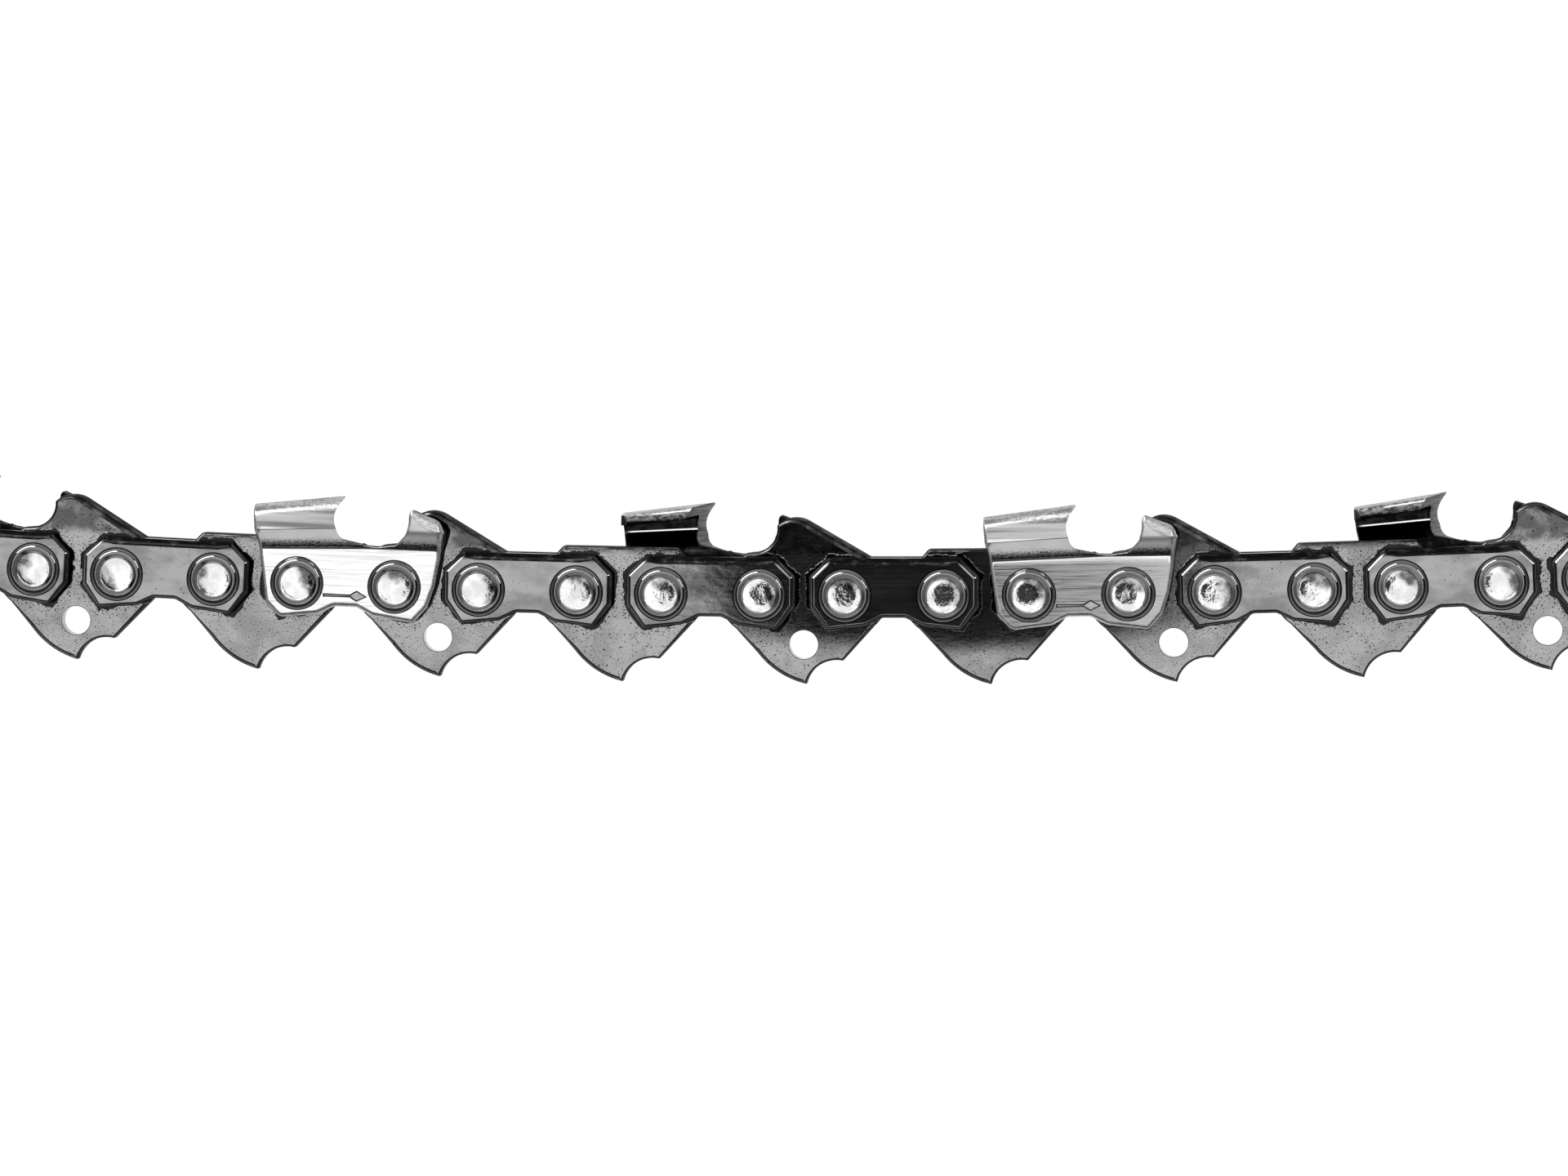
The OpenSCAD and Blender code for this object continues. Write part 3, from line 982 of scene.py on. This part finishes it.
def drive_corners(bumper):
    """The drive link's outline, anticlockwise from the tang's tip."""
    slope = radians(FLANK_SLOPE)
    left_end = (-DRIVE_SPAN / 2, 0)
    right_end = (DRIVE_SPAN / 2, 0)

    def flank(side, c, r, sign):
        """Where the left (-1) or the right (1) flank meets a circle."""
        return line_circle((TANG_MID, -FLANK_MEET), (side * cos(slope), sin(slope)), c, r, sign)

    tip = circles_meet(TANG_CENTRE, TANG_R, HOOK_CENTRE, HOOK_R, -1)
    hook_end = flank(1, HOOK_CENTRE, HOOK_R, 1)
    flank_top_right = flank(1, right_end, DRIVE_END_R, -1)
    flank_low_left = flank(-1, TANG_CENTRE, TANG_R, 1)
    flank_top_left = flank(-1, left_end, DRIVE_END_R, -1)
    shoulder = radians(SHOULDER_SLOPE)
    out, up = DRIVE_END_R * cos(shoulder), DRIVE_END_R * sin(shoulder)
    right_shoulder = (right_end[0] + out, up)
    left_shoulder = (left_end[0] - out, up)
    hook = arc_points(HOOK_CENTRE, HOOK_R, tip, hook_end, TANG_STEPS, clockwise=True)
    front = arc_points(right_end, DRIVE_END_R, flank_top_right, right_shoulder, END_STEPS)[1:]
    rear = arc_points(left_end, DRIVE_END_R, left_shoulder, flank_top_left, END_STEPS)[1:]
    tang = arc_points(TANG_CENTRE, TANG_R, flank_low_left, tip, TANG_STEPS)[1:-1]
    top = hump() if bumper else [(DRIVE_TOP_HALF, DRIVE_TOP, TOP_CORNER_R, TOP_END_ROLL, ROLLED)]
    rear_top = HOLLOW_FLOOR - HOLLOW_FALL if bumper else DRIVE_TOP
    return [
        *faded(hook, EDGE_ROLL),
        *faded([flank_top_right], TANG_ROLL),
        *faded(front, END_ROLL),
        *top,
        (-DRIVE_TOP_HALF, rear_top, TOP_CORNER_R, TOP_END_ROLL, ROLLED),
        *faded([left_shoulder, *rear], END_ROLL),
        *faded([flank_low_left, *tang], TANG_ROLL),
    ]


def drive_place(x, y, z):
    return x, y, z - GAUGE / 2


def drive_hole(x, y, r, n=HOLE_SEGMENTS):
    """A hole through a drive link, with broken edges on both faces."""
    half = [(r + HOLE_LAND, GAUGE), (r + HOLE_BREAK, GAUGE), (r, GAUGE - HOLE_BREAK)]
    return bore(x, y, half + [(wide, GAUGE - level) for wide, level in reversed(half)], n)


def drive_mesh(bumper):
    corners = drive_corners(bumper)
    bores = [drive_hole(s * DRIVE_SPAN / 2, 0, HUB_HOLE_R) for s in (-1, 1)]
    if bumper:
        bores.append(drive_hole(TANG_MID, -OIL_HOLE_DROP, OIL_HOLE_R, OIL_HOLE_SEGMENTS))
    shell = pressed(corners, corners, DRIVE_STEP, GAUGE, DRIVE_BACK_ROLL, bores, DRIVE_EDGE)
    return shell.mesh("bumper_link" if bumper else "drive_link", drive_place, False, DRIVE_FINISHES)


# Rivets: one lathed outline, turned round the rivet's own axis

DISH_CORNER_R = 0.12
CREST_CORNER_R = 0.03
HEAD_ARC_STEPS = 5
RING_STEPS = 12
RING_LIP = 0.03
HUB_BREAK = 0.08
RIVET_SEGMENTS = 72
RIVET_SHARP_EDGE = 50


def rivet_profile():
    """(radius, height) from the middle of the near head to the hub's middle plane."""
    floor = HEAD_SEAT + DISH_H
    crest = HEAD_SEAT + CREST_H
    shares = [i / DISH_RINGS for i in range(DISH_RINGS)]
    points = [(DISH_R * share, floor - DISH_DOME * share**DISH_POWER) for share in shares]
    line = [points[-1], (DISH_R, floor - DISH_DOME), (CREST_IN, crest), (CREST_OUT, crest)]
    line = [np.array(p) for p in line]
    for i, r in enumerate((DISH_CORNER_R, CREST_CORNER_R)):
        points.extend(tuple(p) for p in corner_arc(line[i], line[i + 1], line[i + 2], r, HEAD_ARC_STEPS))
    wide = (RING_OUT - CREST_OUT) / sin(radians(RING_ROUND))
    fall = (CREST_H - RING_EDGE_H) / (1 - cos(radians(RING_ROUND)))
    for i in range(RING_STEPS + 1):
        a = radians(RING_ROUND * i / RING_STEPS)
        points.append((CREST_OUT + wide * sin(a), crest - fall * (1 - cos(a))))
    points += [(RING_OUT + RING_LIP, HEAD_SEAT), (SHANK_R, HEAD_SEAT), (SHANK_R, PLATE_IN)]
    points += [(HUB_R - HUB_BREAK, PLATE_IN), (HUB_R, PLATE_IN - HUB_BREAK)]
    return points


def rivet_mesh():
    profile = rivet_profile()
    full = profile + [(r, -h) for r, h in reversed(profile)]
    n = RIVET_SEGMENTS
    verts = []
    faces = []
    for r, h in full[1:-1]:
        verts.extend((r * cos(2 * pi * i / n) * MM, r * sin(2 * pi * i / n) * MM, h * MM) for i in range(n))
    top = len(verts)
    verts.append((0, 0, full[0][1] * MM))
    verts.append((0, 0, full[-1][1] * MM))
    rows = len(full) - 2
    for i in range(n):
        j = (i + 1) % n
        faces.append((top, i, j))
        faces.append((top + 1, (rows - 1) * n + j, (rows - 1) * n + i))
        for row in range(rows - 1):
            a = row * n
            b = a + n
            faces.append((a + i, b + i, b + j, a + j))
    raw = bpy.data.meshes.new("rivet")
    raw.from_pydata(verts, [], faces)
    raw.materials.append(MATERIALS["rivet_steel"])
    return weigh(raw, RIVET_SHARP_EDGE)


# Cutters: a blank of (x, w) that is folded. w runs up the outer side and over the top to the rim. Its knots
# are the floor, the start and end of the fold, of the crease and of the top corner, and the rim.

W_KNOTS = [2.6, 2.9, 3.9, 4.7, 5.4, 6.6, 8.4, 10.8]
KNOT_ROWS = [1, 9, 2, 7, 3, 14, 3]
W_LOWEST = -6.0
W_FLAT = W_KNOTS[0]
W_CORNER_START = W_KNOTS[5]
W_CORNER_END = W_KNOTS[6]
W_RIM = W_KNOTS[7]
W_REAR_TOP = 9.5
W_CORNER_MID = 7.4
FOLD_R = 0.7
FOLD_INNER_R = 1.0
CREASE_R = 0.12
CREASE_INNER_R = 0.35
CORNER_INNER_R = 0.3
BISECTIONS = 40
GRIND_PASSES = 12
GRIND_PACE = 0.7

# The section at the depth gauge: reach, fold, crease, a top above its crest, rim and crease radius
GAUGE_SECTION = (GAUGE_REACH, 3.5, 4.9, 9.13, 1.4, 1.1)


def mixed(a, b, share):
    return a + (b - a) * share


def along_cutter(rear, front, x):
    return mixed(rear, front, (x - CUTTER_REAR) / -CUTTER_REAR)


def smooth(share):
    s = min(1.0, max(0.0, share))
    return s * s * (3 - 2 * s)


def section_sizes(x):
    """Out, fold, crease, top, rim and crease radius at a station, from the cutting part to the gauge."""
    cut = (
        along_cutter(CORNER_REACH - SIDE_RELIEF, CORNER_REACH, x),
        along_cutter(FOLD_REAR, FOLD_FRONT, x),
        along_cutter(CREASE_REAR, CREASE_FRONT, x),
        along_cutter(TOP_REAR, TOP_FRONT, x),
        RIM_REACH,
        CREASE_R,
    )
    share = smooth((x - BLANK_FRONT) / (GAUGE_START - BLANK_FRONT))
    return [mixed(a, b, share) for a, b in zip(cut, GAUGE_SECTION)]


SECTIONS = {}


def section(x):
    """The outer and inner lines of the folded plate, each as floor point, three fillets and rim point."""
    key = round(x, 4)
    if key in SECTIONS:
        return SECTIONS[key]
    out, fold, crease, top, rim, crease_r = section_sizes(x)
    lean = atan2(out - PLATE_OUT, crease - fold)
    rise = SIDE_T * tan(lean / 2)
    rim_y = top - (out - rim) * tan(radians(TOP_TILT))
    outer = [(PLATE_OUT, W_FLAT), (PLATE_OUT, fold), (out, crease), (out, top), (rim, rim_y)]
    inner = [
        (PLATE_IN, W_FLAT),
        (PLATE_IN, fold + rise),
        (out - SIDE_T, crease + rise),
        (out - SIDE_T, top - TOP_T - SIDE_T * tan(radians(TOP_TILT))),
        (rim, rim_y - TOP_T),
    ]
    outer_radii = (FOLD_R, crease_r, CORNER_R)
    inner_radii = (FOLD_INNER_R, CREASE_INNER_R, CORNER_INNER_R)
    made = []
    for line, radii in ((outer, outer_radii), (inner, inner_radii)):
        line = [np.array(p) for p in line]
        fillets = [fillet(line[i], line[i + 1], line[i + 2], radii[i]) for i in range(3)]
        made.append((line[0], fillets, line[4]))
    SECTIONS[key] = made
    return made


def on_line(line, w):
    """(z, y) of the point w on a section line."""
    floor, fillets, rim = line
    if w <= W_FLAT:
        return np.array((floor[0], w))
    k = W_KNOTS
    for i in range(3):
        start, end = k[1 + 2 * i], k[2 + 2 * i]
        if w <= start:
            before = floor if i == 0 else arc_at(fillets[i - 1], 1)
            return mixed(before, arc_at(fillets[i], 0), (w - k[2 * i]) / (start - k[2 * i]))
        if w <= end:
            return arc_at(fillets[i], (w - start) / (end - start))
    return mixed(arc_at(fillets[2], 1), rim, (w - W_CORNER_END) / (W_RIM - W_CORNER_END))


def folded(x, w, t):
    """Place of a point of the blank: t is 0 on the inner side and PLATE_T on the outer side."""
    outer, inner = section(x)
    zy = mixed(on_line(inner, w), on_line(outer, w), t / PLATE_T)
    return x, zy[1], zy[0]


def w_at(x, y, t):
    """w of the point at height y on one side of the plate, up to the top corner."""
    low, high = W_LOWEST, W_CORNER_END
    if y <= W_FLAT:
        return y
    for _ in range(BISECTIONS):
        middle = (low + high) / 2
        if folded(x, middle, t)[1] < y:
            low = middle
        else:
            high = middle
    return (low + high) / 2


def grind_x(y, z):
    """Where the ground face is at a height and a distance across the chain."""
    slant = radians(GRIND_SLANT)
    rake = radians(GRIND_RAKE)
    foot_u, foot_v = -GRIND_R * sin(rake), GRIND_R * cos(rake)
    edge_u = foot_u + (TOP_FRONT - GRIND_H - foot_v) / tan(rake)
    middle_x = GRIND_EDGE_X - edge_u / cos(slant)
    v = y - GRIND_H
    if v > foot_v:
        u = foot_u + (v - foot_v) / tan(rake)
    else:
        u = -sqrt(max(0.0, GRIND_R**2 - v * v))
    return middle_x + (u + (z - CORNER_REACH) * sin(slant)) / cos(slant)


def ground_edge(w, t):
    """x of the ground face on one side of the plate at w."""
    x = 0.0
    for _ in range(GRIND_PASSES):
        _, y, z = folded(x, w, t)
        x = mixed(x, grind_x(y, z), GRIND_PACE)
    return x


GROUND_ROLL = 0.02
RIM_ROLL = 0.1
REAR_ROLL = 0.25
FOOT_ROLL = 0.36
GAUGE_ROLL = 0.55
REAR_TOP_R = 0.55
RIM_FRONT_LENGTH = 0.3
RIM_BREAK = 0.02
GROUND_FOOT = (0.6, 3.83)
GROUND_ROWS = 16
CORNER_ROWS = 10
TOP_ROWS = 6
REAR_STATION = -8.2
REAR_LINE = [(-1.77, -7.35), (3.3, -7.95), (5.0, -8.28), (8.0, -8.4)]
FRONT_FOOT = [(6.2, -3.23, 0.6), (7.5, -1.75, 0.7), (8.16, 0.2, 0.8)]
REAR_FOOT = [(REAR_LINE[0][1], REAR_LINE[0][0], 0.8), (-6.0, -STRAP_BOTTOM - 0.05, 0.9)]

# (x, y, radius, roll) round the depth gauge, from its front edge over its crest and down into the gullet
GAUGE_CORNERS = [
    (8.6, 3.2, 0, FOOT_ROLL),
    (8.95, 4.9, 0, GAUGE_ROLL),
    (CUTTER_FRONT, 5.75, 0.9, GAUGE_ROLL),
    (8.0, 6.3, 0, GAUGE_ROLL),
    (6.6, 6.79, 0, 0.4),
    (5.72, 7.1, 0.3, 0.2),
    (5.74, 6.0, 0, 0.22),
    (5.42, 4.7, 0.8, 0.14),
    (4.5, 3.8, 0.8, 0.14),
    (2.7, 3.48, 0.8, 0.12),
    (1.75, 3.6, 0.2, 0.1),
    (1.42, 3.78, 0.1, 0.06),
    (1.2, 3.72, 0.1, 0.04),
]


def rear_x(y):
    """Where the cutter's slightly curved rear edge is at a height."""
    heights, places = zip(*REAR_LINE)
    return float(np.interp(y, heights, places))


def cutter_corners(t):
    """The blank's outline, from the waist, with the ground edge as it is on one side of the plate."""
    corners = [(*corner, FOOT_ROLL, ROLLED) for corner in (*WAIST, *FRONT_FOOT)]
    corners += [(x, w_at(x, y, t), r, roll, ROLLED) for x, y, r, roll in GAUGE_CORNERS]
    ws = [
        *np.linspace(w_at(*GROUND_FOOT, PLATE_T), W_CORNER_START, GROUND_ROWS),
        *np.linspace(W_CORNER_START, W_CORNER_END, CORNER_ROWS)[1:],
        *np.linspace(W_CORNER_END, W_RIM - RIM_BREAK, TOP_ROWS)[1:],
    ]
    corners += [(ground_edge(w, t), w, 0, GROUND_ROLL, GROUND) for w in ws]
    rim_front = ground_edge(W_RIM, t)
    corners.append((rim_front, W_RIM, 0, GROUND_ROLL, RIM))
    corners.append((rim_front - RIM_FRONT_LENGTH, W_RIM, 0, RIM_ROLL, RIM))
    corners.append((rear_x(TOP_REAR), W_RIM, REAR_TOP_R, RIM_ROLL))
    for w in (W_REAR_TOP, W_CORNER_END, W_CORNER_MID, *W_KNOTS[5:0:-1]):
        y = folded(REAR_STATION, w, PLATE_T)[1]
        corners.append((rear_x(y), w, 0, RIM_ROLL if w > W_CORNER_START else REAR_ROLL, ROLLED))
    corners += [(*corner, FOOT_ROLL, ROLLED) for corner in REAR_FOOT]
    return corners


# (x, half width) along the arrow, and (x, y) of its tip
ARROW_HALF = [(-1.97, 0.085), (0.45, 0.055), (0.75, 0.26), (1.05, 0.42)]
ARROW_TIP = (1.84, -0.03)
ARROW_Y = -0.98
ARROW_DEPTH = 0.14
ARROW_STEP = 0.25
CUTTER_STEP = 0.45
CUTTER_EDGE = eased(70, 10)
STATION_STEP = 0.42
STATION_SPARE = (0.9, 0.5)
BLANK_STRETCH = 3.0


def arrow_stamp():
    """The direction arrow, pressed into the foot as a narrow shaft and a diamond head."""
    lower = [(x, -half) for x, half in ARROW_HALF]
    corners = [(x, ARROW_Y + y, 0, 1.0) for x, y in (*lower, ARROW_TIP, *reversed(ARROW_HALF))]
    steps = plan(corners, ARROW_STEP)
    drops = ((-0.08, 0.0), (-0.03, 0.0), (0.0, 0.02), (0.03, ARROW_DEPTH * 0.7), (0.045, ARROW_DEPTH))
    return [(trace(corners, steps, inset)[::-1], PLATE_T - drop) for inset, drop in drops]


def fold_rows():
    """Points inside the blank, in rows that are close together in the folds."""
    ws = []
    for start, end, n in zip(W_KNOTS, W_KNOTS[1:], KNOT_ROWS):
        ws += [mixed(start, end, i / n) for i in range(n)]
    rear_spare, front_spare = STATION_SPARE
    xs = np.arange(CUTTER_REAR - rear_spare, CUTTER_FRONT + front_spare, STATION_STEP)
    return np.array([(x, w) for w in ws for x in xs])


def cutter_mesh(mirrored):
    face = cutter_corners(PLATE_T)
    back = cutter_corners(0.0)
    inner = {"stamps": [arrow_stamp()], "extra": fold_rows(), "stretch": BLANK_STRETCH, "dark_bands": 1}
    shell = pressed(face, back, CUTTER_STEP, PLATE_T, BACK_ROLL, seat_bores(), CUTTER_EDGE, **inner)
    return shell.mesh("cutter", folded, mirrored, CUTTER_FINISHES)


PLATES = {}
for side, mirrored in (("right", False), ("left", True)):
    PLATES[side, "strap"] = (strap_mesh(mirrored), "strap_steel")
    PLATES[side, "cutter"] = (cutter_mesh(mirrored), "cutter_chrome")
DRIVES = {bumper: drive_mesh(bumper) for bumper in (True, False)}
RIVET = rivet_mesh()

for k in range(LINK_COUNT):
    body = f"link_{k + 1:02d}"
    middle = standing((PLACES[k] + PLACES[k + 1]) / 2, k)
    if is_drive(k):
        name = drive_name(k)
        piece(f"{name}_plate", DRIVES[is_bumper(k)], middle, body, name)
        continue
    for side in ("right", "left"):
        name = plate_name(k, side)
        mesh, slot = PLATES[side, plate_kind(k, side)]
        piece(f"{name}_plate", mesh, middle, body, name)
    for j in (k, k + 1):
        name = f"rivet_{j:02d}"
        turned = standing(PLACES[j], k) @ Matrix.Rotation(radians(rivet_turn(j)), 4, "Z")
        piece(f"{name}_turned", RIVET, turned, body, name)


# Table, light and camera

TABLE_HALF = 3.0
TABLE_X = 0.085
TABLE_GAP = 0.00005
LAMP_LEVEL = 12.0
LAMP_SOFT = 3
LAMP_HEIGHT_SOFT = 0.006

# Azimuth and half width in degrees, and lowest and highest z of a direction
LAMPS = [(128, 22, 0.72, 0.85), (30, 12, 0.73, 0.76), (30, 12, 0.8, 0.83)]

# The dark patch in the overhead light, as x and y over z
PATCH_CENTRE = (-0.0705, -0.05)
PATCH_RADII = (0.042, 0.044)
PATCH_SOFT = 0.2


def table_top():
    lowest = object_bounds()[0].z
    half = TABLE_HALF
    mesh = bpy.data.meshes.new("table")
    corners = [(-half, -half, 0), (half, -half, 0), (half, half, 0), (-half, half, 0)]
    mesh.from_pydata(corners, [], [(0, 1, 2, 3)])
    table = add_object("table", mesh)
    table.location = (TABLE_X, 0, lowest - TABLE_GAP)
    material = bpy.data.materials.new("table_white")
    material.use_nodes = True
    inputs = material.node_tree.nodes["Principled BSDF"].inputs
    inputs["Base Color"].default_value = grey(0.02)
    inputs["Roughness"].default_value = 0.9
    inputs["Emission Color"].default_value = grey(1)
    inputs["Emission Strength"].default_value = 1.0
    mesh.materials.append(material)


def oval(slopes, centre, radii, soft):
    """0 inside a soft-edged oval of directions and 1 outside, from x and y over z."""
    away = slopes.vector("SUBTRACT", (*centre, 0)).vector("DIVIDE", (*radii, 1))
    return away.vector("LENGTH", output="Value").ramp(1 - soft, 1 + soft)


def lamp(where, azimuth, half, z_low, z_high):
    """A lamp that spans half an angle to each side of its azimuth, in degrees, between two heights."""
    a = radians(azimuth)
    flat = where.vector("MULTIPLY", (1, 1, 0)).vector("NORMALIZE")
    facing = flat.vector("DOT_PRODUCT", (cos(a), sin(a), 0), "Value")
    beside = facing.ramp(cos(radians(half + LAMP_SOFT)), cos(radians(half)), 0, LAMP_LEVEL)
    return beside * where.split()[2].within(z_low, z_high, LAMP_HEIGHT_SOFT)


def studio():
    """A dark room with a wide soft light overhead, lamps beside it and a low bright strip in front."""
    world = bpy.data.worlds.new("studio")
    bpy.context.scene.world = world
    world.use_nodes = True
    tree = world.node_tree
    where = add_node(tree, "ShaderNodeTexCoord", {}, "Generated")
    x, y, z = where.split()
    up = z.math("MAXIMUM", 0.02)
    slopes = join(x / up, y / up, 0.0)
    sideways, height, _ = slopes.split()
    across = (sideways + 0.07).math("ABSOLUTE")
    wide = (across - height).ramp(0.26, 0.36, 1, 0) * across.ramp(0.4, 0.6, 1, 0)
    light = wide * height.ramp(0.5, 0.75, 1.25, 0) * oval(slopes, PATCH_CENTRE, PATCH_RADII, PATCH_SOFT)
    for sizes in LAMPS:
        light = light + lamp(where, *sizes)
    front = y.ramp(-0.1, -0.6) * z.within(0.0, 0.22, 0.05) * 0.62
    behind = y.ramp(0.45, 0.75, 0, 0.42) * z.ramp(0.0, 0.08)
    sides = y.ramp(0.1, -0.3, 0.02, 0.07)
    room = z.within(0.14, 0.6, 0.06) * y.ramp(-0.92, -0.82, 0, 0.34)
    light = light + front + behind + sides + room
    seen = add_node(tree, "ShaderNodeLightPath", {}, "Is Camera Ray")
    shown = add_node(tree, "ShaderNodeMix", {0: seen, 2: light, 3: 1.0}, data_type="FLOAT")
    background = tree.nodes["Background"]
    background.inputs["Color"].default_value = grey(1)
    put(background.inputs["Strength"], shown)


def camera():
    data = bpy.data.cameras.new("camera")
    data.sensor_width = SENSOR
    data.lens = CAMERA_LENS
    data.clip_start = 0.01
    data.clip_end = 20
    made = add_object("camera", data)
    turn = Matrix.Rotation(CAMERA_YAW, 4, "Y") @ Matrix.Rotation(CAMERA_PITCH, 4, "X")
    turn = turn @ Matrix.Rotation(CAMERA_ROLL, 4, "Z")
    made.matrix_world = Matrix.Translation(Vector(CAMERA_AT) * MM) @ turn
    bpy.context.scene.camera = made


table_top()
studio()
camera()

scene = bpy.context.scene
scene.view_settings.view_transform = "Standard"
scene.view_settings.look = "None"
